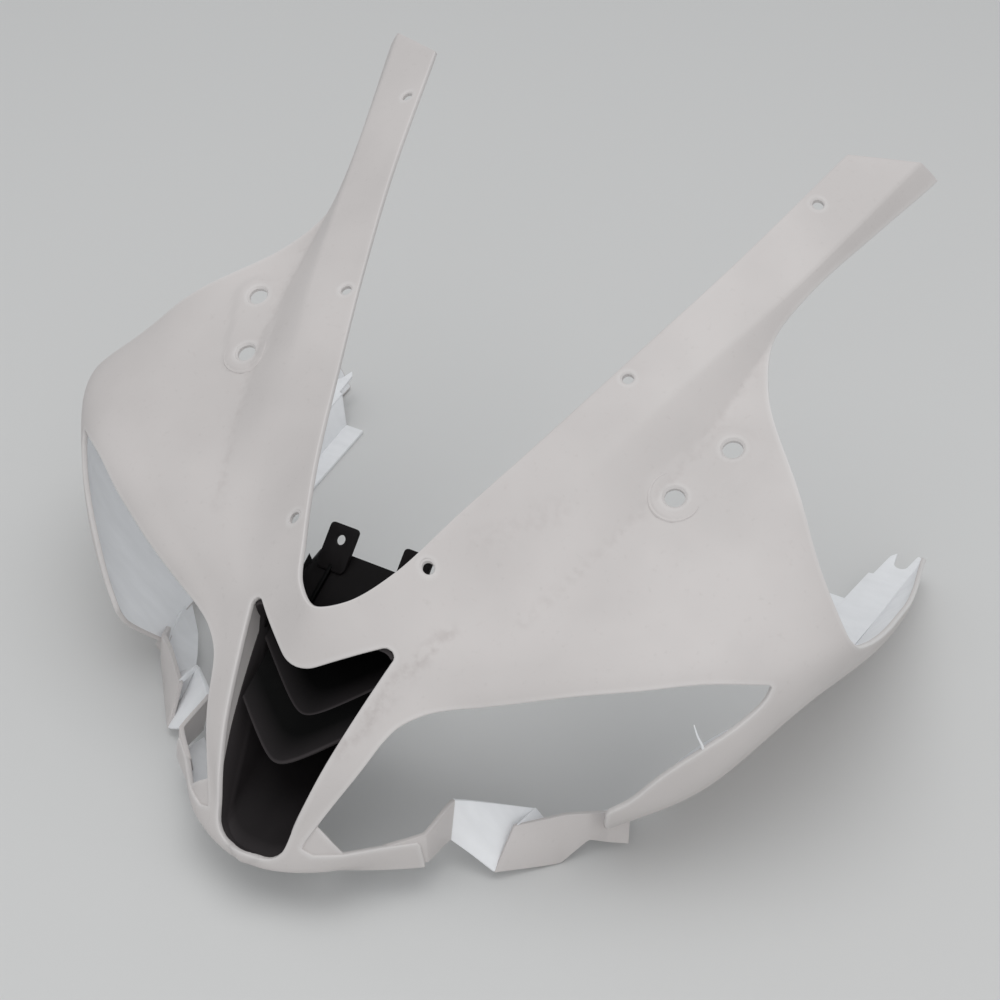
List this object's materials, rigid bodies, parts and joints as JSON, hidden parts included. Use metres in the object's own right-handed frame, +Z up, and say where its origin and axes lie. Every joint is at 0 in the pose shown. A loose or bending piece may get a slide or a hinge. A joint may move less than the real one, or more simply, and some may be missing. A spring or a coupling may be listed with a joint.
{
  "type": "motorcycle front fairing",
  "caption": "Upper front fairing of a sports motorcycle: one curved primed shell with headlight openings, screen arms, tails and a black intake duct with V vanes.",
  "frame": {"origin": "middle of the outer box, on the floor the fairing stands on", "axes": "+X to the rider's left, +Y to the rear of the motorcycle, +Z up"},
  "size_m": [0.4826, 0.4372, 0.267],
  "materials": {
    "primed_shell": "satin primer over a plastic moulding",
    "black_duct": "satin black moulded plastic",
    "screw_steel": "zinc-plated steel"
  },
  "bodies": {
    "root": {"fairing_shell": "primed_shell", "intake_duct": "black_duct", "duct_screws": "screw_steel"}
  },
  "joints": []
}
